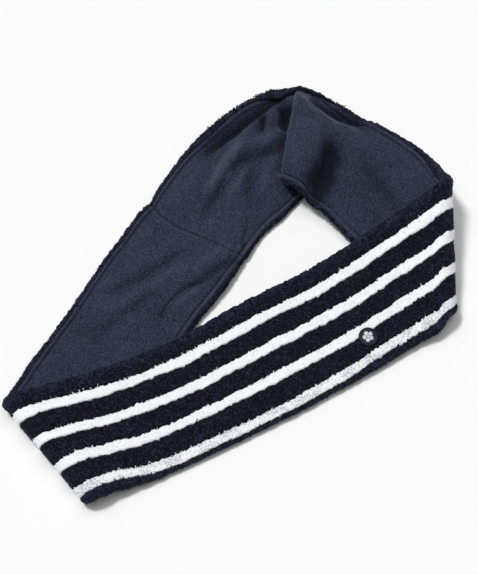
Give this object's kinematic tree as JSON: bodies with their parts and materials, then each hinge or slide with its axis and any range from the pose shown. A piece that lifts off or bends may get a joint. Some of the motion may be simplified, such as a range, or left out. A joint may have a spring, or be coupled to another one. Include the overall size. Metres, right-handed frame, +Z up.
{
  "type": "spa headband",
  "caption": "Wide closed-loop headband of striped terry pile lined with fleece, lying untwisted on a table in a soft three-cornered loop with a pleat at the back.",
  "frame": {"origin": "middle of the footprint, on the table", "axes": "+Z up off the table; -Y towards the striped front run; +X towards the raised right-hand fold"},
  "size_m": [0.212, 0.2278, 0.0341],
  "materials": {
    "navy_pile": "matte",
    "white_pile": "matte",
    "slate_fleece": "matte",
    "navy_thread": "satin",
    "patch_thread": "satin",
    "white_thread": "satin"
  },
  "bodies": {
    "root": {"outer_pile_panel": "navy_pile", "white_pile_stripe_1": "white_pile", "white_pile_stripe_2": "white_pile", "white_pile_stripe_3": "white_pile", "white_pile_stripe_4": "white_pile", "fleece_lining": "slate_fleece", "lower_edge_seam": "navy_thread", "upper_edge_seam": "navy_thread", "lining_closing_seam": "navy_thread", "outer_closing_seam": "navy_thread", "embroidered_patch": "patch_thread", "embroidered_flower": "white_thread"}
  },
  "joints": []
}
